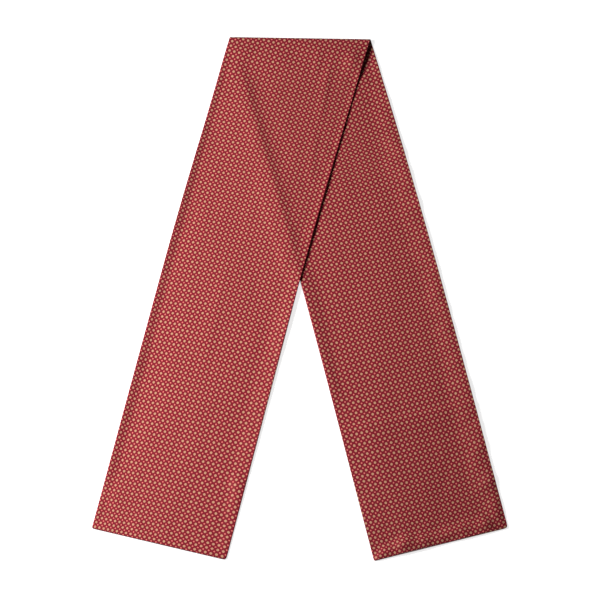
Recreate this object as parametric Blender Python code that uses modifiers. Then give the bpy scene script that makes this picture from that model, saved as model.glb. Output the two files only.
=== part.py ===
# Silk scarf, folded once across its middle and laid flat with its two ends spread apart.
#
# Two equal long panels are seamed together round their edges. The scarf is first a strip on an
# unrolled sheet: t is the distance along its middle from the fold line, negative on the upper end
# and positive on the lower end, and w is the distance across it. On that sheet x runs along the fold
# line and s away from it. The sheet is then bent round the fold, the upper end is draped over the
# hidden edge of the lower one, and each panel is an open surface with Solidify.
# Metres, +Z up, resting on z = 0.

import math

import bmesh
import bpy
import numpy as np

# The scarf
WIDTH = 0.200
END_LENGTH = 0.800  # from the fold line to the tip of each end
PLY = 0.001  # wall of one panel
GAP = 0.0003  # between neighbouring panels

# The fold
FOLD_RADIUS = 0.0039  # of the bend, midway between the two plies
FOLD_LOFT = 0.054  # how far the upper end takes to come down from the fold
FOLD_TILT = 0.017  # slope of the fold line across the scarf
TILT_REACH = 0.150  # the slope dies out this far from the fold
PANEL_LAP = 0.004  # how far a panel runs on past the bend before its neighbour starts
FOLD_HEADING = 15.7  # degrees to either side of straight away from the fold

# How each end lies: its heading in degrees past the bend in it, where that bend starts and stops,
# and the slant of its tip against the fold line's own slant
ENDS = {
    "upper": dict(heading=14.2, bend_from=0.190, bend_to=0.450, tip_slant=0.033),
    "lower": dict(heading=14.0, bend_from=0.035, bend_to=0.630, tip_slant=-0.025),
}

# Soft rolled edges, with the seam allowances inside: distance in from the edge, and how far the
# outer face is from the middle of the plies on the panel that shows and on the one below it
ROLL = [
    dict(inset=0.0000, top=0.00155, under=0.00045),
    dict(inset=0.0006, top=0.00222, under=0.00075),
    dict(inset=0.0022, top=0.00305, under=0.00102),
    dict(inset=0.0050, top=0.00345, under=0.00115),
    dict(inset=0.0088, top=0.00235, under=0.00115),
    dict(inset=0.0125, top=0.00115, under=0.00115),
]
ROLL_FROM = 0.011  # the roll starts this far from the fold line and is full at ROLL_FULL
ROLL_FULL = 0.030
CORNER_REACH = 0.014  # a corner is rounded within this distance of both its edges
CORNER_POWER = 6

# Drape of the upper end over the hidden edge of the lower one: distance inside that edge, and
# height of the upper end's underside
DRAPE = [
    dict(inside=-0.0200, height=0.0000),
    dict(inside=-0.0075, height=0.0029),
    dict(inside=0.0050, height=0.0054),
    dict(inside=0.0175, height=0.0029),
    dict(inside=0.0300, height=0.0026),
]
CREST = 0.0050  # the drape's highest line, which the columns and rows meet on
LATTICE = 0.0125  # spacing of the upper end's columns

# Crease across the lower end, left by an earlier fold
CREASE_AT = 0.580
CREASE_SLANT = 0.060
CREASE_HEIGHT = 0.0006
CREASE_REACH = 0.018

STACK = 2 * PLY + GAP  # two plies lying flat
HALF_STACK = STACK / 2
BEND = math.pi * FOLD_RADIUS / 2  # length of the bend on each side of the fold line
FOLD_BACK = FOLD_RADIUS + HALF_STACK  # outer radius of the bend
INSETS = [row["inset"] for row in ROLL]
SLANT = math.tan(math.radians(FOLD_HEADING))
SPREAD = 2 * math.sin(math.radians(FOLD_HEADING))  # how fast the two ends part, per distance


def smooth(x):
    """0 to 1 with soft ends, as x goes from 0 to 1."""
    x = np.clip(x, 0.0, 1.0)
    return x * x * (3 - 2 * x)


def heading_of(end, distance):
    """Heading of an end, in radians, at a distance from the fold."""
    lie = ENDS[end]
    turned = smooth((distance - lie["bend_from"]) / (lie["bend_to"] - lie["bend_from"]))
    return np.radians(FOLD_HEADING + (lie["heading"] - FOLD_HEADING) * turned)


def running_sum(values, step):
    """Length run so far, from values at even steps."""
    return np.concatenate([[0.0], np.cumsum((values[1:] + values[:-1]) / 2 * step)])


def middle_line(end):
    """Distances along the middle of an end, and the x and s of each on the unrolled sheet."""
    along = np.linspace(0.0, END_LENGTH + 0.050, 171)
    heading = heading_of(end, along)
    step = along[1]
    return along, running_sum(np.sin(heading), step), running_sum(np.cos(heading), step)


MIDDLE = {end: middle_line(end) for end in ENDS}


def middle_at(t):
    """x, s and heading of the strip's middle at t."""
    end = "upper" if t < 0 else "lower"
    along, x, s = MIDDLE[end]
    distance = abs(t)
    at_x = math.copysign(np.interp(distance, along, x), t)
    at_s = math.copysign(np.interp(distance, along, s), t)
    return at_x, at_s, float(heading_of(end, distance))


def on_sheet(t, w):
    """x and s of a point of the strip."""
    x, s, heading = middle_at(t)
    return x + w * math.cos(heading), s - w * math.sin(heading)


def inside_lower_end(x, s):
    """How far a point lies inside the left edge of the lower end."""
    t = s
    for _ in range(4):
        middle_x, middle_s, heading = middle_at(max(t, 0.0))
        t += (x - middle_x) * math.sin(heading) + (s - middle_s) * math.cos(heading)
    middle_x, middle_s, heading = middle_at(max(t, 0.0))
    return (x - middle_x) * math.cos(heading) - (s - middle_s) * math.sin(heading) + WIDTH / 2


def rest_height(x, s):
    """Height of the upper end's underside at a distance s from the fold."""
    inside = inside_lower_end(x, s)
    draped = np.interp(inside, [row["inside"] for row in DRAPE], [row["height"] for row in DRAPE])
    lofted = 2 * FOLD_RADIUS
    return lofted + (draped - lofted) * smooth((s - BEND) / FOLD_LOFT)


def bent(x, s, out):
    """Where a point lies once the sheet is bent, out from the middle of the plies."""
    distance = abs(s)
    tilt = -FOLD_TILT * x * (1 - smooth((distance - BEND) / TILT_REACH))
    if distance < BEND:
        turn = s / FOLD_RADIUS
        radius = FOLD_RADIUS + out
        y = radius * math.cos(turn) - FOLD_BACK
        z = HALF_STACK + FOLD_RADIUS - radius * math.sin(turn)
    elif s > 0:
        y = BEND - distance - FOLD_BACK
        z = HALF_STACK - out
    else:
        y = BEND - distance - FOLD_BACK
        z = HALF_STACK + out + rest_height(x, distance)
    return x, y + tilt, z


def rounded(inset, tip):
    """Distances in from the edge and from the tip, moved so that the corner is round."""
    across = 1 - inset / CORNER_REACH
    along = 1 - tip / CORNER_REACH
    if min(across, along) <= 0:
        return inset, tip
    ring = max(across, along)
    length = (across**CORNER_POWER + along**CORNER_POWER) ** (1 / CORNER_POWER)
    return CORNER_REACH * (1 - across * ring / length), CORNER_REACH * (1 - along * ring / length)


def face_out(side, edge, s):
    """Distance of a panel's outer face from the middle of the plies, edge in from the seam."""
    rolled = np.interp(edge, INSETS, [row[side] for row in ROLL])
    grown = smooth((abs(s) - ROLL_FROM) / (ROLL_FULL - ROLL_FROM))
    return HALF_STACK + (rolled - HALF_STACK) * grown


def creased(t, w):
    """Height of the crease across the lower end."""
    off = t - CREASE_AT - CREASE_SLANT * w
    return CREASE_HEIGHT * (1 - smooth(abs(off) / CREASE_REACH))


def face_point(side, ply, row, w):
    """A point of a panel's outer face. ply is 1 outside the fold and -1 inside it."""
    tip = END_LENGTH - abs(row["t"])
    inset = WIDTH / 2 - abs(w)
    edge = min(inset, tip)
    inset, tip = rounded(inset, tip)
    w = math.copysign(WIDTH / 2 - inset, w)
    t = math.copysign(END_LENGTH - tip, row["t"]) + row["slant"] * SLANT * w
    x, s = on_sheet(t, w)
    out = face_out(side, edge, s)
    if side == "top":
        out += creased(t, w)
    return bent(x, s, ply * out)


def fold_row(s):
    """A row that runs along the fold line."""
    return dict(t=s / math.cos(math.radians(FOLD_HEADING)), slant=1.0)


def bend_rows(steps=6):
    """Rows round the bend, in order from the lower end to the upper end."""
    return [fold_row(BEND * (1 - 2 * i / steps)) for i in range(steps + 1)]


def turning_rows(end, start, spacing, extra=()):
    """Rows that turn from the fold line's slant to the tip's, and those of the rolled tip."""
    stop = END_LENGTH - INSETS[-1]
    count = round((stop - start) / spacing)
    distances = [start + (stop - start) * i / count for i in range(1, count + 1)]
    distances = [d for d in distances if not any(abs(d - e) < spacing / 2 for e in extra)]
    distances = sorted([*distances, *extra, *(END_LENGTH - inset for inset in INSETS[:-1])])
    sign = -1 if end == "upper" else 1
    tip_slant = ENDS[end]["tip_slant"]
    return [
        dict(t=sign * d, slant=1 + (tip_slant - 1) * smooth((d - start) / (stop - start)))
        for d in distances
    ]


def crest_distance(w):
    """Distance from the fold to the row on which the column at w crosses the drape's crest."""
    distance = (w + WIDTH / 2 - CREST) / SPREAD
    for _ in range(6):
        x, s = on_sheet(SLANT * w - distance, w)
        distance += (inside_lower_end(x, -s) - CREST) / SPREAD
    return distance


def upper_rows(first, across):
    """Rows of the upper end from a distance to its tip. Each column meets a row on the crest."""
    meeting = [crest_distance(w) for w in across if w >= INSETS[-1] - WIDTH / 2]
    between = (meeting[0] + meeting[1]) / 2
    beyond = [meeting[-1] + LATTICE / SPREAD * i for i in (1, 2, 3)]
    rows = [fold_row(-first)]
    rows += [dict(t=-distance, slant=1.0) for distance in sorted([between, *meeting, *beyond])]
    return rows + turning_rows("upper", abs(rows[-1]["t"]), 0.045)


def lower_rows(first):
    """Rows of the lower end from a distance to its tip."""
    near = [first, 0.014, 0.018, 0.023, ROLL_FULL, 0.055]
    rows = [fold_row(s) for s in near]
    crease = [CREASE_AT + CREASE_REACH * k for k in (-1, -0.5, 0, 0.5, 1)]
    return rows + turning_rows("lower", rows[-1]["t"], 0.060, crease)


def columns(spacing):
    """Distances across the strip: those of the rolled edges, and even steps between them."""
    reach = WIDTH / 2 - INSETS[-1]
    count = round(2 * reach / spacing)
    rim = [WIDTH / 2 - inset for inset in INSETS[:-1]]
    return [-w for w in rim] + [reach * (2 * i / count - 1) for i in range(count + 1)] + rim[::-1]


def silk(name, colour):
    """Printed silk twill, as one plain colour."""
    material = bpy.data.materials.new(name)
    material.use_nodes = True
    shader = material.node_tree.nodes["Principled BSDF"]
    linear = [((c + 0.055) / 1.055) ** 2.4 for c in colour]
    shader.inputs["Base Color"].default_value = (*linear, 1.0)
    shader.inputs["Roughness"].default_value = 0.55
    shader.inputs["Metallic"].default_value = 0.0
    return material


def make_panel(name, side, ply, rows, across, colour, collection):
    """One panel: a grid with its rows across the strip, shaped, then given the wall of a ply."""
    bm = bmesh.new()
    bmesh.ops.create_grid(bm, x_segments=len(across) - 1, y_segments=len(rows) - 1, size=1.0)
    for vertex in bm.verts:
        column = round((vertex.co.x + 1) / 2 * (len(across) - 1))
        row = round((vertex.co.y + 1) / 2 * (len(rows) - 1))
        vertex.co = face_point(side, ply, rows[row], across[column])
    bmesh.ops.triangulate(bm, faces=bm.faces[:], quad_method="FIXED")
    bm.normal_update()
    tip = min(bm.faces, key=lambda face: face.calc_center_median().y)
    if (tip.normal.z > 0) != (side == "top"):
        bmesh.ops.reverse_faces(bm, faces=bm.faces[:])
    mesh = bpy.data.meshes.new(name)
    bm.to_mesh(mesh)
    bm.free()
    mesh.shade_smooth()
    mesh.materials.append(silk(name + "_silk", colour))
    panel = bpy.data.objects.new(name, mesh)
    collection.objects.link(panel)
    wall = panel.modifiers.new("Wall", "SOLIDIFY")
    wall.thickness = PLY
    wall.offset = -1.0
    return panel


def stand_on_origin(panels):
    """Moves the scarf so that the middle of its outline is over the origin."""
    points = np.array([vertex.co for panel in panels for vertex in panel.data.vertices])
    middle = (points.min(axis=0) + points.max(axis=0)) / 2
    for panel in panels:
        for vertex in panel.data.vertices:
            vertex.co.x -= middle[0]
            vertex.co.y -= middle[1]


for old in list(bpy.data.objects):
    bpy.data.objects.remove(old, do_unlink=True)
scarf = bpy.data.collections.new("silk_scarf")
bpy.context.scene.collection.children.link(scarf)

over_fold = BEND + PANEL_LAP  # where a panel that wraps the fold stops
past_fold = over_fold + GAP  # where its neighbour starts
fine = columns(LATTICE)
coarse = columns(0.025)

panels = [
    make_panel(
        "upper_end_outer_panel", "top", 1,
        [fold_row(over_fold), *bend_rows(), *upper_rows(over_fold, fine)],
        fine, (0.68, 0.33, 0.34), scarf,
    ),
    make_panel(
        "upper_end_under_panel", "under", -1,
        upper_rows(past_fold, fine),
        fine, (0.60, 0.28, 0.29), scarf,
    ),
    make_panel(
        "lower_end_top_panel", "top", -1,
        [fold_row(-over_fold), *reversed(bend_rows()), *lower_rows(over_fold)],
        coarse, (0.58, 0.26, 0.27), scarf,
    ),
    make_panel(
        "lower_end_under_panel", "under", 1,
        lower_rows(past_fold),
        coarse, (0.52, 0.22, 0.24), scarf,
    ),
]
stand_on_origin(panels)
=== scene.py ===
# Looks of the folded silk scarf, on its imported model. Metres, +Z up, the scarf lying on z = 0.

import math

import bpy
import numpy as np
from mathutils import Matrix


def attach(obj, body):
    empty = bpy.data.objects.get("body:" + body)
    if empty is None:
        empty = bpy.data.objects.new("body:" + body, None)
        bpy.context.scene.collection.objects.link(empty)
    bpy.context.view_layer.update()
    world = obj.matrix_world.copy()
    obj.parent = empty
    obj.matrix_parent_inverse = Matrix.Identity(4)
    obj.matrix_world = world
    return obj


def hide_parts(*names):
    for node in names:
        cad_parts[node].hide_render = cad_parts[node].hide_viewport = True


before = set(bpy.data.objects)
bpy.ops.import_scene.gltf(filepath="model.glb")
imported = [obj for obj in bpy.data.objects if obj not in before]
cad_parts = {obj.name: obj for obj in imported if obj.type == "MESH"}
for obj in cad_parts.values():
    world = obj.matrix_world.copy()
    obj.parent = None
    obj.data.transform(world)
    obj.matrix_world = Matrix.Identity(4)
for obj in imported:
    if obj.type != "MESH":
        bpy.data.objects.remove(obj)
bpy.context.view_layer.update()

# Lower end, under panel: the stretch that lies on the table. The scarf is two equal long panels of
# silk twill, sewn together round all four edges with their printed faces inside and then turned
# out, so that the seam allowances lie hidden inside. This stretch is flat from the fold to the tip.

WIDTH = 0.200
END_LENGTH = 0.800  # from the fold line to the tip of each end
MID = 0.00115  # half of the two plies and the air between them
FOLD_RADIUS = 0.0039  # of the bend, midway between the two plies
FOLD_TILT = 0.017  # slope of the fold line across the scarf
TILT_REACH = 0.150  # the slope dies out this far from the fold
FOLD_HEADING = 15.7  # degrees to either side of straight away from the fold
# How each end lies: its heading in degrees past the slight bend in it, where the bend starts and
# stops, and the slant of its tip, as a share of the fold line's own slant
ENDS = {
    "upper": dict(heading=14.2, bend_from=0.190, bend_to=0.450, tip_slant=0.033),
    "lower": dict(heading=14.0, bend_from=0.035, bend_to=0.630, tip_slant=-0.025),
}
TOWARDS = {"upper": -1, "lower": 1}  # t and s are negative on the upper end
TURNS_FROM = 0.060  # a row has the fold line's slant up to here, and the tip's own at the tip
RELIEF_FROM = 0.011  # lips and ripples start this far from the fold line and are full at RELIEF_FULL
RELIEF_FULL = 0.030
CORNER_REACH = {"left": 0.007, "right": 0.013}  # a corner is round within this of both its edges
CORNER_POWER = 6  # 2 would make a quarter circle, and more makes a squarer corner
OUTLINE_MIDDLE = (-0.00078, -0.39720)  # from the middle of the fold line
MESH_STEP = 0.0020
BEND_ROWS = 24  # rows of faces round the bend
LAP_ROWS = 3  # rows of faces from the bend back to where the neighbour starts

BEND = math.pi * FOLD_RADIUS / 2  # length of the bend on each side of the fold line
LOFTED = 2 * FOLD_RADIUS  # height of the upper end just past the fold
SLANT = math.tan(math.radians(FOLD_HEADING))  # of the fold line against a row square across an end
ALONG = 1 / math.cos(math.radians(FOLD_HEADING))  # run along an end for each metre off the fold line
OVER_FOLD = BEND + 0.004  # where the stretch that wraps the fold gives way to its neighbour

# A turned edge, from the tip of the allowance inside, out round the seam and up its outer face:
# distance in from the edge, and share of the full height that the edge stands at there
TURNED_EDGE = [
    dict(inset=0.0050, share=0.18),
    dict(inset=0.0012, share=0.10),
    dict(inset=0.0003, share=0.05),
    dict(inset=0.0000, share=0.22),
    dict(inset=0.0000, share=0.46),
    dict(inset=0.0001, share=0.70),
    dict(inset=0.0003, share=0.88),
    dict(inset=0.0006, share=0.97),
    dict(inset=0.0011, share=1.00),
    dict(inset=0.0019, share=1.00),
    dict(inset=0.0030, share=1.00),
    dict(inset=0.0044, share=1.00),
    dict(inset=0.0062, share=1.00),
    dict(inset=0.0081, share=1.00),
    dict(inset=0.0102, share=1.00),
]
INSETS = np.array([row["inset"] for row in TURNED_EDGE])
SHARES = np.array([row["share"] for row in TURNED_EDGE])

# A panel's lip along its three edges: how far its crest stands above the flat of the panel, the share
# of that at the edge itself, how far in the crest is, and how much further in the lip comes down.
# Along a side, at is the distance from the fold, and along the tip it is the place across the strip.
FLAT_LIPS = {
    side: [dict(at=0.0, lip=0.0, rim=1.00, crest=0.002, width=0.010)] for side in ("left", "right", "tip")
}
MITRE = 0.012  # width over which the side's lip gives way to the tip's at a corner
LEAST_CREST = 0.0005  # how far in a crest counts as being where it is at the edge or beyond it

REPEAT = 0.0074  # from one tan dot of the print to the next
# How far the print has crept on each end, in repeats, because the cloth lies a little skewed and
# stretched: along the end (with its skew and bow over half the width) and across it (with its fan
# and pinch), at a distance from the fold
CREEP = {
    "upper": [
        dict(at=0.030, along=-0.81, skew=0.59, bow=0.31, across=-0.15, fan=0.16, pinch=0.08),
        dict(at=0.130, along=-0.06, skew=1.16, bow=0.03, across=-0.01, fan=0.16, pinch=0.04),
        dict(at=0.230, along=0.70, skew=1.18, bow=0.12, across=0.22, fan=0.21, pinch=-0.19),
        dict(at=0.330, along=1.32, skew=1.00, bow=-0.13, across=0.32, fan=0.24, pinch=-0.41),
        dict(at=0.430, along=1.44, skew=1.04, bow=-0.51, across=0.51, fan=0.22, pinch=-0.54),
        dict(at=0.530, along=0.74, skew=0.95, bow=-0.22, across=0.76, fan=0.34, pinch=-0.63),
        dict(at=0.630, along=0.04, skew=0.80, bow=-0.13, across=0.71, fan=0.23, pinch=-0.60),
        dict(at=0.770, along=-0.74, skew=0.68, bow=-0.41, across=1.14, fan=0.22, pinch=-1.09),
    ],
    "lower": [
        dict(at=0.060, along=0.24, skew=0.02, bow=0.01, across=-0.20, fan=0.01, pinch=0.04),
        dict(at=0.150, along=-0.31, skew=-0.28, bow=1.14, across=-0.04, fan=0.14, pinch=-0.18),
        dict(at=0.250, along=1.43, skew=-0.22, bow=0.11, across=-0.30, fan=-0.10, pinch=0.08),
        dict(at=0.350, along=1.29, skew=-0.76, bow=0.13, across=-0.41, fan=-0.04, pinch=0.18),
        dict(at=0.450, along=0.87, skew=-0.36, bow=-0.14, across=-0.36, fan=-0.04, pinch=0.16),
        dict(at=0.550, along=0.23, skew=-0.12, bow=0.02, across=-0.49, fan=0.04, pinch=0.26),
        dict(at=0.650, along=-0.86, skew=-0.12, bow=0.21, across=-0.63, fan=0.01, pinch=0.26),
        dict(at=0.705, along=-1.34, skew=-0.14, bow=0.37, across=-0.50, fan=0.09, pinch=0.05),
        dict(at=0.770, along=-1.47, skew=0.16, bow=0.28, across=-0.39, fan=0.49, pinch=-0.05),
    ],
}


def smooth(x):
    """0 to 1 with soft ends, as x goes from 0 to 1."""
    x = np.clip(x, 0.0, 1.0)
    return x * x * (3 - 2 * x)


def curve(x, rows, at, value):
    """A smooth curve through a table's rows, level beyond the first and the last."""
    xs = np.array([row[at] for row in rows])
    ys = np.array([row[value] for row in rows])
    if len(xs) == 1:
        return np.full_like(x, ys[0])
    rises = np.diff(ys) / np.diff(xs)
    before, after = rises[:-1], rises[1:]
    goes_on = before * after > 0
    slopes = np.zeros(len(xs))
    slopes[1:-1][goes_on] = (2 * after * before)[goes_on] / (after + before)[goes_on]
    x = np.clip(x, xs[0], xs[-1])
    i = np.clip(np.searchsorted(xs, x, side="right") - 1, 0, len(xs) - 2)
    gap = xs[i + 1] - xs[i]
    f = (x - xs[i]) / gap
    level = ys[i] + (ys[i + 1] - ys[i]) * f * f * (3 - 2 * f)
    return level + gap * f * (1 - f) * ((1 - f) * slopes[i] - f * slopes[i + 1])


# The scarf is first a strip on an unrolled sheet: t is the distance along its middle from the fold
# line and w the place across it. On that sheet x runs along the fold line and s away from it.


def heading_of(end, distance):
    """Heading of an end, in radians, at a distance from the fold."""
    lie = ENDS[end]
    turned = smooth((distance - lie["bend_from"]) / (lie["bend_to"] - lie["bend_from"]))
    return np.radians(FOLD_HEADING + (lie["heading"] - FOLD_HEADING) * turned)


MIDDLE_LENGTH = END_LENGTH + 0.050  # a tip's far corner lies a little beyond the end's length
MIDDLE_STEPS = 850


def middle_line(end):
    """Distances along the middle of an end, and the x and s of each on the unrolled sheet."""
    along = np.linspace(0.0, MIDDLE_LENGTH, MIDDLE_STEPS + 1)
    heading = heading_of(end, along)
    runs = []
    for rate in (np.sin(heading), np.cos(heading)):
        runs.append(np.concatenate([[0.0], np.cumsum((rate[1:] + rate[:-1]) / 2 * along[1])]))
    return along, runs[0], runs[1]


MIDDLE = {end: middle_line(end) for end in ENDS}


def middle_at(t):
    """x, s and heading of the strip's middle at t."""
    distance = np.abs(t)
    at = {}
    for end, (along, x, s) in MIDDLE.items():
        at[end] = (np.interp(distance, along, x), np.interp(distance, along, s), heading_of(end, distance))
    upper = t < 0
    return (
        np.where(upper, -at["upper"][0], at["lower"][0]),
        np.where(upper, -at["upper"][1], at["lower"][1]),
        np.where(upper, at["upper"][2], at["lower"][2]),
    )


def on_sheet(t, w):
    """x and s of points of the strip, s being the distance from the fold line."""
    x, s, heading = middle_at(t)
    return x + w * np.cos(heading), s - w * np.sin(heading)


def past_fold(x, distance):
    """Height of the lower end's few millimetres of lap past the fold, which the fold holds up."""
    return np.full_like(x, LOFTED)


def bent(x, s, out, rests_at):
    """Where points lie once the sheet is bent round the fold, out being from the middle of the plies."""
    distance = np.abs(s)
    tilt = -FOLD_TILT * x * (1 - smooth((distance - BEND) / TILT_REACH))
    turn = np.clip(s, -BEND, BEND) / FOLD_RADIUS
    in_bend = distance < BEND
    radius = FOLD_RADIUS + out
    y = np.where(in_bend, radius * np.cos(turn), BEND - distance) - FOLD_RADIUS - MID
    z_bend = MID + FOLD_RADIUS - radius * np.sin(turn)
    z_flat = np.where(s > 0, MID - out, MID + out + rests_at(x, distance))
    z = np.where(in_bend, z_bend, z_flat)
    return np.stack([x - OUTLINE_MIDDLE[0], y + tilt - OUTLINE_MIDDLE[1], z], -1)


def rounded(inset, tip, reach):
    """Distances in from the edge and from the tip, moved so that the corner is round."""
    least = 1e-9  # keeps the division below from 0 / 0
    across = np.clip(1 - inset / reach, least, None)
    along = np.clip(1 - tip / reach, least, None)
    length = (across**CORNER_POWER + along**CORNER_POWER) ** (1 / CORNER_POWER)
    ring = np.maximum(across, along)
    at_corner = (inset < reach) & (tip < reach)
    return (
        np.where(at_corner, reach * (1 - across * ring / length), inset),
        np.where(at_corner, reach * (1 - along * ring / length), tip),
    )


def lip_height(lips, distance, w, inset, tip):
    """How far the turned edge lifts a panel above its flat."""
    lifts = []
    for side, place, beside in (("left", distance, inset), ("right", distance, inset), ("tip", w, tip)):
        rows = lips[side]
        lip, rim, crest, width = (curve(place, rows, "at", key) for key in ("lip", "rim", "crest", "width"))
        rises = rim + (1 - rim) * smooth(beside / np.maximum(crest, LEAST_CREST))
        lifts.append(lip * rises * (1 - smooth((beside - crest) / width)))
    edge = np.where(w < 0, lifts[0], lifts[1])
    corner = smooth((inset - tip) / MITRE + 0.5)
    return np.maximum(edge * (1 - corner) + lifts[2] * corner, np.minimum(edge, lifts[2]))


def run_out(steps, home):
    """Distance run along a line of steps, from a place on it."""
    runs = np.concatenate([np.zeros_like(steps[:1]), np.cumsum(steps, axis=0)])
    return runs - runs[home]


def grid_lines(starts):
    """Places of a mesh's columns across the strip and of its rows along it, and for each crossing of
    the two its step on the turned edge."""
    last = len(TURNED_EDGE) - 1
    reach = WIDTH / 2 - INSETS[-1]
    inner = np.linspace(-reach, reach, round(2 * reach / MESH_STEP) + 1)
    across = np.concatenate([INSETS[:-1] - WIDTH / 2, inner, (WIDTH / 2 - INSETS[:-1])[::-1]])
    steps_across = np.concatenate([np.arange(last), np.full(len(inner), last), np.arange(last)[::-1]])

    stop = END_LENGTH - INSETS[-1]
    start = max(starts, BEND) * ALONG
    rows = np.linspace(start, stop, round((stop - start) / MESH_STEP) + 1)
    if starts < 0:
        lap = np.linspace(starts, -BEND, LAP_ROWS + 1)[:-1]
        bend = np.linspace(-BEND, BEND, BEND_ROWS + 1)[:-1]
        rows = np.concatenate([np.concatenate([lap, bend]) * ALONG, rows])
    down = np.concatenate([rows, END_LENGTH - INSETS[:-1][::-1]])
    steps_down = np.concatenate([np.full(len(rows), last), np.arange(last)[::-1]])
    return across, down, np.minimum(steps_across[None, :], steps_down[:, None])


def maps_of(end, points, own, w, down):
    """A stretch's map of its cut, in metres, and of its print, in repeats. Both are measured over the
    cloth's own surface, so that the print keeps its size on the cloth."""
    steps = np.linalg.norm(np.diff(points, axis=1), axis=-1)
    steps = np.sqrt(np.clip(steps**2 - np.diff(own, axis=1) ** 2, 0, None)) * np.sign(np.diff(w, axis=1))
    home = points.shape[1] // 2
    u = run_out(steps.T, home).T + w[:, home : home + 1]
    steps = np.linalg.norm(np.diff(points, axis=0), axis=-1) * np.sign(np.diff(own, axis=0))
    home = int(np.argmin(np.abs(down)))
    v = run_out(steps, home) + own[home]

    creep = {key: curve(v, CREEP[end], "at", key) for key in CREEP[end][0] if key != "at"}
    side = u / (WIDTH / 2)
    repeats_across = u / REPEAT + creep["across"] + creep["fan"] * side + creep["pinch"] * side**2
    repeats_along = v / REPEAT + creep["along"] + creep["skew"] * side + creep["bow"] * side**2
    return {"cut": (u, TOWARDS[end] * v), "print": (repeats_across, TOWARDS[end] * repeats_along)}


def cloth_through(name, points, faces_up, maps):
    """A piece of cloth through a grid of points, its face up or down, with its maps and material."""
    grid = np.arange(points[..., 0].size).reshape(points.shape[:2])
    quads = np.stack([grid[:-1, :-1], grid[:-1, 1:], grid[1:, 1:], grid[1:, :-1]], -1).reshape(-1, 4)
    spots = points.reshape(-1, 3)
    low, middle, high = spots[quads[len(quads) // 2][:3]]
    if (np.cross(middle - low, high - middle)[2] > 0) != faces_up:
        quads = quads[:, ::-1]
    mesh = bpy.data.meshes.new(name)
    mesh.from_pydata(spots.tolist(), [], quads.tolist())
    mesh.shade_smooth()
    for key, values in maps.items():
        spread = np.stack(values, -1).reshape(-1, 2)[quads.reshape(-1)]
        mesh.uv_layers.new(name=key).uv.foreach_set("vector", spread.astype(np.float32).ravel())
    mesh.materials.append(silk)
    piece = bpy.data.objects.new(name, mesh)
    bpy.context.scene.collection.objects.link(piece)
    return piece


def make_stretch(name, node, end, faces_up, starts, lips, rests_at, relief):
    """One stretch of a panel, in rows across the strip from the fold to the tip.

    starts is its distance from the fold line, less than 0 where it wraps the fold first. rests_at
    gives the height of the end's underside, and relief how far the face stands out from its flat.
    """
    across, down, step = grid_lines(starts)
    inset = np.maximum((WIDTH / 2 - np.abs(across))[None, :], INSETS[step])
    tip = np.maximum((END_LENGTH - down)[:, None], INSETS[step])
    inset, tip = rounded(inset, tip, np.where(across < 0, CORNER_REACH["left"], CORNER_REACH["right"]))
    w = np.sign(across)[None, :] * (WIDTH / 2 - inset)
    turning = smooth((down - TURNS_FROM) / (END_LENGTH - INSETS[-1] - TURNS_FROM))[:, None]
    slant = 1 + (ENDS[end]["tip_slant"] - 1) * turning
    own = END_LENGTH - tip + TOWARDS[end] * slant * SLANT * w
    distance = np.abs(own)

    x, s = on_sheet(TOWARDS[end] * own, w)
    grown = smooth((np.abs(s) - RELIEF_FROM) / (RELIEF_FULL - RELIEF_FROM))
    full = MID + (lip_height(lips, distance, w, inset, tip) + relief(distance, w)) * grown
    out = full * SHARES[step]
    outside_fold = faces_up == (end == "upper")
    points = bent(x, s, out if outside_fold else -out, rests_at)

    piece = cloth_through(name, points, faces_up, maps_of(end, points, own, w, down))
    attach(piece, "root")
    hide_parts(node)
    return piece


# The cloth is silk twill: fine glossy warp threads run along the strip, so it has a soft gloss that
# spreads across it. It was screen printed with a deep red ground, round tan dots in a square repeat
# and small pink ones between them, and the ink sinks in and frays a little along the threads.

GROUND = "5C141E"
INKS = [
    dict(label="tan dots", colour="8D6953", radius=0.246, shift=0.0),
    dict(label="pink dots", colour="A3564F", radius=0.155, shift=0.5),
]
BLEED = 0.05  # of the repeat, over which the ink fades out
FRAY = 0.10  # of the repeat, the band within which the ink's edge wanders
FRAY_GRAIN = (2200.0, 900.0, 1.0)  # per metre, across the strip and along it: about 0.5 by 1 mm
SLUB_GRAIN = (420.0, 16.0, 1.0)  # per metre: streaks about 2 mm wide and 60 mm long
TWILL = 0.001256  # rib spacing, about three times the real one, which is too fine to show
WAVE_PERIOD = math.pi / 5  # of the wave node's diagonal bands, along x and y added


def linear(code):
    """An sRGB hex code as a linear colour."""
    parts = [int(code[i : i + 2], 16) / 255 for i in (0, 2, 4)]
    return (*(p / 12.92 if p <= 0.04045 else ((p + 0.055) / 1.055) ** 2.4 for p in parts), 1.0)


def add(tree, kind, inputs, output=0, **settings):
    """Adds a node with its settings, sets or links its inputs, and gives one of its outputs."""
    node = tree.nodes.new(kind)
    for name, value in settings.items():
        setattr(node, name, value)
    for socket, value in inputs.items():
        if isinstance(value, bpy.types.NodeSocket):
            tree.links.new(value, node.inputs[socket])
        else:
            node.inputs[socket].default_value = value
    return node.outputs[output]


silk = bpy.data.materials.new("screen_printed_silk_twill")
silk.use_nodes = True
tree = silk.node_tree
shader = tree.nodes["Principled BSDF"]

cut = add(tree, "ShaderNodeUVMap", {}, uv_map="cut")
repeats = add(tree, "ShaderNodeUVMap", {}, uv_map="print")
threads = add(tree, "ShaderNodeVectorMath", {0: cut, 1: FRAY_GRAIN}, operation="MULTIPLY")
fray = add(tree, "ShaderNodeTexNoise", {"Vector": threads, "Scale": 1.0, "Detail": 1.0})
fray = add(tree, "ShaderNodeMath", {0: fray, 1: 0.5}, operation="SUBTRACT")
fray = add(tree, "ShaderNodeMath", {0: fray, 1: FRAY}, operation="MULTIPLY")

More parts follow.
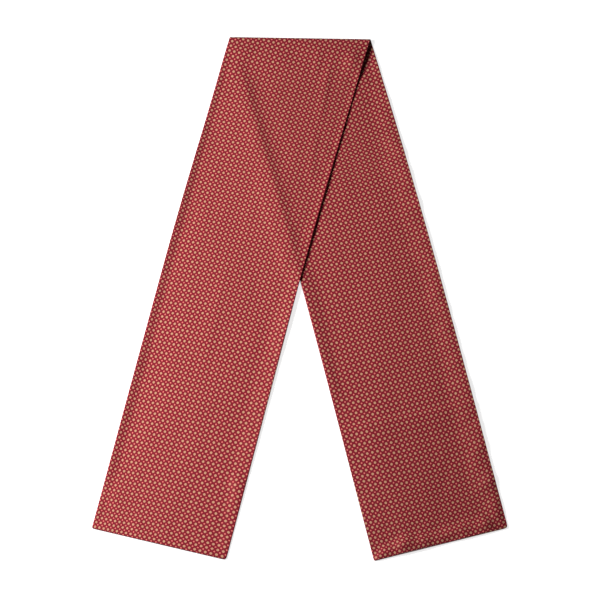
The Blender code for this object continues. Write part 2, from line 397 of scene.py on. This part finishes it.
colour = linear(GROUND)
for ink in INKS:
    shift = ink["shift"] + 0.5
    at = add(tree, "ShaderNodeVectorMath", {0: repeats, 1: (shift, shift, 0.0)}, operation="ADD")
    at = add(tree, "ShaderNodeVectorMath", {0: at}, operation="FRACTION")
    at = add(tree, "ShaderNodeVectorMath", {0: at, 1: (0.5, 0.5, 0.0)}, operation="SUBTRACT")
    away = add(tree, "ShaderNodeVectorMath", {0: at}, output=1, operation="LENGTH")
    away = add(tree, "ShaderNodeMath", {0: away, 1: fray}, operation="ADD")
    edges = {
        "Value": away,
        "From Min": ink["radius"] + BLEED / 2,
        "From Max": ink["radius"] - BLEED / 2,
    }
    cover = add(tree, "ShaderNodeMapRange", edges, interpolation_type="SMOOTHSTEP")
    layers = {0: cover, 6: colour, 7: linear(ink["colour"])}
    colour = add(tree, "ShaderNodeMix", layers, output=2, data_type="RGBA", label=ink["label"])

# Thicker and thinner threads take up to 6% more or less of the ink, in long streaks
slubs = add(tree, "ShaderNodeVectorMath", {0: cut, 1: SLUB_GRAIN}, operation="MULTIPLY")
slubs = add(tree, "ShaderNodeTexNoise", {"Vector": slubs, "Scale": 1.0, "Detail": 3.0})
uneven = {"Value": slubs, "From Min": 0.3, "From Max": 0.7, "To Min": 0.94, "To Max": 1.06}
uneven = add(tree, "ShaderNodeMapRange", uneven)
colour = add(tree, "ShaderNodeVectorMath", {0: colour, 1: uneven}, operation="MULTIPLY")
tree.links.new(colour, shader.inputs["Base Color"])

ribs = add(tree, "ShaderNodeVectorMath", {0: cut, 1: (1 / TWILL, 1 / TWILL, 0.0)}, operation="MULTIPLY")
ribs = {"Vector": ribs, "Scale": WAVE_PERIOD / math.sqrt(2), "Distortion": 0.6}
ribs = add(tree, "ShaderNodeTexWave", ribs, output=1, bands_direction="DIAGONAL")
bump = add(tree, "ShaderNodeBump", {"Height": ribs, "Strength": 0.3, "Distance": 0.00005})
tree.links.new(bump, shader.inputs["Normal"])
warp = add(tree, "ShaderNodeTangent", {}, direction_type="UV_MAP", uv_map="cut")
tree.links.new(warp, shader.inputs["Tangent"])

# The ink stains the threads through, so their gloss is weak and comes back reddish
shader.inputs["Roughness"].default_value = 0.42
shader.inputs["IOR"].default_value = 1.54
shader.inputs["Specular IOR Level"].default_value = 0.08
shader.inputs["Specular Tint"].default_value = linear("D98078")
shader.inputs["Anisotropic"].default_value = 0.3


def ripples(rows, distance, w):
    """Soft ripples, added up. A row gives a ripple's length along the strip and across it."""
    height = np.zeros_like(w + distance)
    for row in rows:
        turn = distance / row["along"] + w / row["across"] + row["starts"]
        height = height + row["height"] * np.sin(2 * np.pi * turn)
    return height


FAINT_DEPTH = 0.00009  # the two heights added, so that no ripple rises above the flat
FAINT_RIPPLES = [
    dict(along=0.330, across=0.074, starts=0.05, height=0.00005),
    dict(along=0.210, across=-0.043, starts=0.60, height=0.00004),
]


def hidden_relief(distance, w):
    """A face that lies on another or on the table keeps flat but for faint ripples."""
    return ripples(FAINT_RIPPLES, distance, w) - FAINT_DEPTH


lower_under = make_stretch(
    "lower_end_under_silk", "lower_end_under_panel", "lower", False, OVER_FOLD,
    FLAT_LIPS, past_fold, hidden_relief,
)

# Lower end, top panel: the second panel's stretch that shows on the right. It wraps the inside of
# the fold. Its edges were never pressed, so they stand up over the allowances inside: the right one
# and the tip pucker along the seam. A sharp crease from storage crosses it.

LOWER_LIPS = {
    "left": [
        dict(at=0.050, lip=0.0030, rim=1.00, crest=0.0010, width=0.0120),
        dict(at=0.330, lip=0.0032, rim=1.00, crest=0.0010, width=0.0200),
        dict(at=0.400, lip=0.0040, rim=1.00, crest=-0.0020, width=0.0310),
        dict(at=0.470, lip=0.0026, rim=1.00, crest=-0.0020, width=0.0250),
        dict(at=0.530, lip=0.0016, rim=1.00, crest=0.0010, width=0.0180),
        dict(at=0.580, lip=-0.0002, rim=1.00, crest=0.0010, width=0.0120),
        dict(at=0.650, lip=-0.0006, rim=1.00, crest=0.0010, width=0.0140),
        dict(at=0.790, lip=-0.0003, rim=1.00, crest=0.0010, width=0.0120),
    ],
    "right": [
        dict(at=0.060, lip=0.0012, rim=1.00, crest=0.0020, width=0.0100),
        dict(at=0.140, lip=0.0022, rim=1.00, crest=0.0040, width=0.0280),
        dict(at=0.260, lip=0.0030, rim=1.00, crest=0.0040, width=0.0340),
        dict(at=0.420, lip=0.0025, rim=0.95, crest=0.0050, width=0.0300),
        dict(at=0.560, lip=0.0030, rim=0.95, crest=0.0060, width=0.0330),
        dict(at=0.700, lip=0.0032, rim=0.80, crest=0.0070, width=0.0340),
        dict(at=0.790, lip=0.0027, rim=0.55, crest=0.0080, width=0.0260),
    ],
    "tip": [
        dict(at=-0.095, lip=0.0026, rim=0.60, crest=0.0080, width=0.0160),
        dict(at=-0.050, lip=0.0044, rim=0.72, crest=0.0090, width=0.0180),
        dict(at=0.010, lip=0.0034, rim=0.72, crest=0.0090, width=0.0170),
        dict(at=0.055, lip=0.0042, rim=0.75, crest=0.0110, width=0.0190),
        dict(at=0.095, lip=0.0030, rim=0.55, crest=0.0080, width=0.0150),
    ],
}
LOWER_RIPPLES = [
    dict(along=0.310, across=0.610, starts=0.10, height=0.00020),
    dict(along=0.240, across=0.083, starts=0.35, height=0.00012),
    dict(along=0.420, across=0.037, starts=0.65, height=0.00007),
    dict(along=-0.260, across=0.023, starts=0.20, height=0.00003),
]
LOWER_PUCKERS = [
    dict(along=0.0270, across=0.071, starts=0.00, height=0.00018),
    dict(along=0.0430, across=-0.057, starts=0.30, height=0.00024),
    dict(along=0.0171, across=0.043, starts=0.70, height=0.00008),
    dict(along=0.0710, across=0.130, starts=0.45, height=0.00026),
]
TIP_PUCKERS = [
    dict(along=0.0900, across=0.0310, starts=0.20, height=0.00036),
    dict(along=-0.0600, across=0.0190, starts=0.55, height=0.00016),
]
# A crease or ridge from one place to another, each given by its distance from the fold and its place
# across the strip: how wide it is on its right and its left, from above on the way to its end
LOWER_CREASES = [
    dict(start=(0.594, -0.190), end=(0.609, 0.190), right=0.0420, left=0.0042, height=0.00190),
    dict(start=(0.540, -0.052), end=(0.880, -0.046), right=0.0400, left=0.1000, height=0.00170),
    dict(start=(0.660, 0.050), end=(0.735, 0.018), right=0.0100, left=0.0120, height=-0.00040),
    dict(start=(0.490, -0.096), end=(0.590, -0.080), right=0.0060, left=0.0080, height=0.00040),
]
# A bump where the seam puckers the cloth, or a dent between two: its place and its reach both ways
LOWER_BUMPS = [
    dict(at=(0.130, 0.104), along=0.018, across=0.011, height=0.0009),
    dict(at=(0.190, 0.088), along=0.012, across=0.011, height=0.0008),
    dict(at=(0.209, 0.096), along=0.010, across=0.011, height=0.0009),
    dict(at=(0.248, 0.096), along=0.014, across=0.012, height=0.0012),
    dict(at=(0.288, 0.102), along=0.012, across=0.011, height=0.0012),
    dict(at=(0.318, 0.094), along=0.007, across=0.008, height=-0.0007),
    dict(at=(0.392, 0.101), along=0.012, across=0.011, height=0.0012),
    dict(at=(0.436, 0.088), along=0.010, across=0.011, height=0.0008),
    dict(at=(0.456, 0.096), along=0.010, across=0.011, height=0.0010),
    dict(at=(0.486, 0.092), along=0.010, across=0.012, height=0.0009),
    dict(at=(0.533, 0.096), along=0.014, across=0.012, height=0.0011),
    dict(at=(0.578, 0.097), along=0.012, across=0.013, height=0.0013),
    dict(at=(0.603, 0.095), along=0.008, across=0.012, height=0.0010),
    dict(at=(0.642, 0.103), along=0.012, across=0.011, height=0.0014),
    dict(at=(0.665, 0.098), along=0.012, across=0.014, height=0.0018),
    dict(at=(0.690, 0.080), along=0.013, across=0.011, height=0.0012),
    dict(at=(0.724, 0.094), along=0.012, across=0.014, height=0.0018),
    dict(at=(0.768, 0.090), along=0.012, across=0.013, height=0.0013),
    dict(at=(0.784, -0.050), along=0.009, across=0.012, height=0.0018),
    dict(at=(0.784, 0.030), along=0.010, across=0.014, height=0.0016),
    dict(at=(0.781, 0.070), along=0.010, across=0.012, height=0.0016),
    dict(at=(0.790, 0.098), along=0.016, across=0.010, height=-0.0014),
    dict(at=(0.640, -0.092), along=0.012, across=0.007, height=0.0006),
    dict(at=(0.716, -0.088), along=0.010, across=0.008, height=0.0006),
    dict(at=(0.752, -0.080), along=0.009, across=0.009, height=0.0007),
]


# Where the puckers start, towards the right and left edges and the tip, over what width they grow
# to the full, and the share of their height that they have there
LOWER_PUCKERED = {
    "right": dict(starts=0.045, grows=0.040, share=1.00),
    "left": dict(starts=0.070, grows=0.020, share=0.25),
    "tip": dict(starts=0.755, grows=0.030, share=1.00),
}
CREASE_FADES = 0.3  # share of a crease's length over which each end of it fades
BUMP_SPREAD = 1.6  # how far a bump's foot is out, in its reach


def creases(rows, distance, w):
    """Soft ridges and troughs from one place on the strip to another, fading at both ends."""
    height = np.zeros_like(w + distance)
    for row in rows:
        step = np.subtract(row["end"], row["start"])
        length = math.hypot(*step)
        ahead = ((distance - row["start"][0]) * step[0] + (w - row["start"][1]) * step[1]) / length
        off = ((w - row["start"][1]) * step[0] - (distance - row["start"][0]) * step[1]) / length
        across = 1 - smooth(np.abs(off) / np.where(off < 0, row["right"], row["left"]))
        fade = CREASE_FADES * length
        fades = smooth(ahead / fade) * smooth((length - ahead) / fade)
        height = height + row["height"] * across * fades
    return height


def bumps(rows, distance, w):
    """Single soft bumps and dents."""
    height = np.zeros_like(w + distance)
    for row in rows:
        away = np.hypot((distance - row["at"][0]) / row["along"], (w - row["at"][1]) / row["across"])
        height = height + row["height"] * (1 - smooth(away / BUMP_SPREAD))
    return height


def beside_edges(places, distance, w):
    """Share of the puckers' height that shows, growing towards the edges and the tip."""
    towards = {"right": w, "left": -w, "tip": distance}
    shares = []
    for side, row in places.items():
        shares.append(row["share"] * smooth((towards[side] - row["starts"]) / row["grows"]))
    return np.maximum.reduce(shares)


def lower_relief(distance, w):
    """Relief of the lower end's visible face."""
    height = ripples(LOWER_RIPPLES, distance, w)
    height = height + ripples(LOWER_PUCKERS, distance, w) * beside_edges(LOWER_PUCKERED, distance, w)
    by_tip = {"tip": LOWER_PUCKERED["tip"]}
    height = height + ripples(TIP_PUCKERS, distance, w) * beside_edges(by_tip, distance, w)
    return height + creases(LOWER_CREASES, distance, w) + bumps(LOWER_BUMPS, distance, w)


lower_top = make_stretch(
    "lower_end_top_silk", "lower_end_top_panel", "lower", True, -OVER_FOLD,
    LOWER_LIPS, past_fold, lower_relief,
)

# Upper end, under panel: the second panel's other stretch. It comes down from the fold on to the
# lower end, crosses that end's hidden left edge, and goes on along the table. The fold was only
# laid over, not pressed, so it stays open inside.

FOLD_LOFT = dict(full=0.018, gone=0.078)  # how far from the fold line the fold holds the cloth up
# Height of the underside over the lower end's hidden edge, by the distance inside that edge
DRAPE = [
    dict(inside=-0.0700, height=0.0000),
    dict(inside=-0.0450, height=0.0012),
    dict(inside=-0.0200, height=0.0033),
    dict(inside=-0.0040, height=0.0055),
    dict(inside=0.0010, height=0.0059),
    dict(inside=0.0070, height=0.0048),
    dict(inside=0.0150, height=0.0033),
    dict(inside=0.0280, height=0.0025),
    dict(inside=0.0600, height=0.0024),
    dict(inside=0.0900, height=0.0023),
]
NEAREST_ROUNDS = 4  # of stepping along the middle line to the point nearest to a place


def inside_lower_end(x, s):
    """How far points lie inside the left edge of the lower end."""
    t = s
    for _ in range(NEAREST_ROUNDS):
        middle_x, middle_s, heading = middle_at(np.maximum(t, 0.0))
        t = t + (x - middle_x) * np.sin(heading) + (s - middle_s) * np.cos(heading)
    middle_x, middle_s, heading = middle_at(np.maximum(t, 0.0))
    return (x - middle_x) * np.cos(heading) - (s - middle_s) * np.sin(heading) + WIDTH / 2


def lies_on_lower_end(x, distance):
    """Height of the upper end's underside."""
    draped = curve(inside_lower_end(x, distance), DRAPE, "inside", "height")
    fallen = smooth((distance - FOLD_LOFT["full"]) / (FOLD_LOFT["gone"] - FOLD_LOFT["full"]))
    return LOFTED + (draped - LOFTED) * fallen


upper_under = make_stretch(
    "upper_end_under_silk", "upper_end_under_panel", "upper", False, OVER_FOLD,
    FLAT_LIPS, lies_on_lower_end, hidden_relief,
)

# Upper end, outer panel: the first panel's other stretch, on top of all. It wraps the outside of the
# fold, and shows the hidden edge below it as a soft slanting ridge. Its left edge stands up sharply
# over the allowances, its right one slopes up to the edge, and it has faint lengthwise ripples.

UPPER_LIPS = {
    "left": [
        dict(at=0.050, lip=0.0003, rim=1.00, crest=0.0010, width=0.0070),
        dict(at=0.085, lip=0.0022, rim=1.00, crest=0.0005, width=0.0100),
        dict(at=0.150, lip=0.0032, rim=1.00, crest=-0.0010, width=0.0130),
        dict(at=0.240, lip=0.0038, rim=1.00, crest=-0.0020, width=0.0150),
        dict(at=0.320, lip=0.0042, rim=1.00, crest=-0.0020, width=0.0170),
        dict(at=0.460, lip=0.0041, rim=1.00, crest=-0.0020, width=0.0180),
        dict(at=0.540, lip=0.0048, rim=1.00, crest=-0.0020, width=0.0190),
        dict(at=0.630, lip=0.0046, rim=1.00, crest=-0.0020, width=0.0190),
        dict(at=0.700, lip=0.0032, rim=1.00, crest=-0.0010, width=0.0180),
        dict(at=0.750, lip=0.0013, rim=1.00, crest=0.0010, width=0.0130),
        dict(at=0.790, lip=0.0008, rim=1.00, crest=0.0010, width=0.0090),
    ],
    "right": [
        dict(at=0.040, lip=0.0012, rim=1.00, crest=0.0005, width=0.0090),
        dict(at=0.250, lip=0.0018, rim=1.00, crest=-0.0020, width=0.0160),
        dict(at=0.310, lip=0.0020, rim=1.00, crest=-0.0060, width=0.0240),
        dict(at=0.375, lip=0.0012, rim=1.00, crest=-0.0080, width=0.0300),
        dict(at=0.420, lip=0.0050, rim=1.00, crest=-0.0100, width=0.0400),
        dict(at=0.480, lip=0.0048, rim=1.00, crest=-0.0110, width=0.0430),
        dict(at=0.570, lip=0.0036, rim=1.00, crest=-0.0090, width=0.0390),
        dict(at=0.700, lip=0.0020, rim=0.80, crest=0.0040, width=0.0240),
        dict(at=0.790, lip=0.0013, rim=0.60, crest=0.0050, width=0.0160),
    ],
    "tip": [
        dict(at=-0.095, lip=0.0016, rim=0.70, crest=0.0050, width=0.0120),
        dict(at=0.000, lip=0.0020, rim=0.72, crest=0.0050, width=0.0130),
        dict(at=0.095, lip=0.0014, rim=0.60, crest=0.0050, width=0.0120),
    ],
}
UPPER_RIPPLES = [
    dict(along=0.280, across=0.470, starts=0.20, height=0.00016),
    dict(along=0.330, across=0.071, starts=0.05, height=0.00012),
    dict(along=0.470, across=0.034, starts=0.55, height=0.00007),
    dict(along=-0.410, across=0.021, starts=0.80, height=0.00003),
]
UPPER_PUCKERS = [
    dict(along=0.0210, across=0.060, starts=0.10, height=0.00014),
    dict(along=0.0370, across=-0.050, starts=0.45, height=0.00016),
    dict(along=0.0131, across=0.040, starts=0.20, height=0.00008),
    dict(along=0.0830, across=0.210, starts=0.30, height=0.00026),
]
UPPER_CREASES = [
    dict(start=(0.612, -0.125), end=(0.560, 0.125), right=0.0060, left=0.0040, height=0.00016),
    dict(start=(0.285, -0.079), end=(0.328, -0.075), right=0.0060, left=0.0050, height=-0.00050),
    dict(start=(0.320, -0.016), end=(0.640, 0.012), right=0.0220, left=0.0080, height=0.00030),
    dict(start=(0.240, -0.060), end=(0.560, -0.050), right=0.0180, left=0.0090, height=0.00022),
    dict(start=(-0.010, 0.028), end=(0.060, 0.038), right=0.0070, left=0.0110, height=0.00080),
    dict(start=(0.020, 0.052), end=(0.130, 0.066), right=0.0140, left=0.0070, height=0.00110),
    dict(start=(0.120, 0.058), end=(0.230, 0.078), right=0.0120, left=0.0090, height=0.00070),
    dict(start=(0.030, -0.088), end=(0.230, 0.036), right=0.0240, left=0.0340, height=-0.00110),
    dict(start=(0.180, -0.030), end=(0.400, 0.105), right=0.0100, left=0.0160, height=0.00060),
]
UPPER_BUMPS = [
    dict(at=(0.030, -0.076), along=0.030, across=0.014, height=0.0022),
    dict(at=(0.020, 0.004), along=0.022, across=0.024, height=-0.0016),
    dict(at=(0.012, 0.084), along=0.020, across=0.012, height=0.0030),
    dict(at=(0.168, 0.088), along=0.016, across=0.009, height=0.0007),
    dict(at=(0.216, 0.070), along=0.012, across=0.009, height=-0.0004),
    dict(at=(0.684, 0.088), along=0.014, across=0.011, height=0.0016),
    dict(at=(0.708, 0.092), along=0.008, across=0.009, height=0.0010),
    dict(at=(0.745, -0.080), along=0.020, across=0.014, height=0.0008),
    dict(at=(0.782, -0.040), along=0.009, across=0.011, height=0.0008),
    dict(at=(0.784, 0.006), along=0.008, across=0.013, height=0.0008),
]
UPPER_PUCKERED = {
    "right": dict(starts=0.070, grows=0.025, share=1.00),
    "left": dict(starts=0.070, grows=0.025, share=1.00),
    "tip": dict(starts=0.765, grows=0.025, share=1.00),
}


def upper_relief(distance, w):
    """Relief of the upper end's outer face."""
    height = ripples(UPPER_RIPPLES, distance, w)
    height = height + ripples(UPPER_PUCKERS, distance, w) * beside_edges(UPPER_PUCKERED, distance, w)
    return height + creases(UPPER_CREASES, distance, w) + bumps(UPPER_BUMPS, distance, w)


upper_outer = make_stretch(
    "upper_end_outer_silk", "upper_end_outer_panel", "upper", True, -OVER_FOLD,
    UPPER_LIPS, lies_on_lower_end, upper_relief,
)

# Table: a photographer's light table, a milky white acrylic sheet lit evenly from below. The glow
# through it keeps the scarf's shadow pale and soft.

TABLE_REACH = 9.0  # far enough to fill every view
TABLE_DROP = 0.0002  # a hair below the cloth, so that the two don't share a face

reach = TABLE_REACH
table_mesh = bpy.data.meshes.new("table")
corners = [(-reach, -reach, 0), (reach, -reach, 0), (reach, reach, 0), (-reach, reach, 0)]
table_mesh.from_pydata(corners, [], [(0, 1, 2, 3)])
table = bpy.data.objects.new("table", table_mesh)
table.location.z = -TABLE_DROP
bpy.context.scene.collection.objects.link(table)
acrylic = bpy.data.materials.new("lit_milky_white_acrylic")
acrylic.use_nodes = True
milky = acrylic.node_tree.nodes["Principled BSDF"]
milky.inputs["Base Color"].default_value = linear("9A9A9A")
milky.inputs["Roughness"].default_value = 0.9
milky.inputs["Specular IOR Level"].default_value = 0.0
milky.inputs["Emission Color"].default_value = (1.0, 1.0, 1.0, 1.0)
milky.inputs["Emission Strength"].default_value = 0.78
table_mesh.materials.append(acrylic)

# Light: one round softbox, a lamp behind white cloth, on a stand close by on the left. White walls
# all round send a little even light back.

key_data = bpy.data.lights.new("key_lamp", "AREA")
key_data.shape = "DISK"
key_data.size = 0.70
key_data.energy = 59.5
key = bpy.data.objects.new("key_lamp", key_data)
key.location = (-0.95, 0.05, 0.97)
key.rotation_mode = "QUATERNION"
key.rotation_quaternion = (-key.location).to_track_quat("-Z", "Y")
key.visible_camera = False
bpy.context.scene.collection.objects.link(key)

surround = bpy.data.worlds.new("studio")
surround.use_nodes = True
surround.node_tree.nodes["Background"].inputs["Color"].default_value = (1.0, 1.0, 1.0, 1.0)
surround.node_tree.nodes["Background"].inputs["Strength"].default_value = 0.10
bpy.context.scene.world = surround

# Camera: high up beyond the tips, 17 degrees off straight down, with a long lens, so that both ends
# look equally wide from the fold to the tip.

TILT = math.radians(17.0)
DISTANCE = 9.0
LOOKS_AT = (0.00023, -0.0062, 0.0)
camera_data = bpy.data.cameras.new("camera")
camera_data.sensor_width = 36.0
camera_data.lens = 369.6
camera_data.clip_end = 60.0
camera = bpy.data.objects.new("camera", camera_data)
camera.location = (LOOKS_AT[0], LOOKS_AT[1] - DISTANCE * math.sin(TILT), DISTANCE * math.cos(TILT))
camera.rotation_euler = (TILT, 0.0, 0.0)
bpy.context.scene.collection.objects.link(camera)
bpy.context.scene.camera = camera
bpy.context.scene.view_settings.view_transform = "Standard"
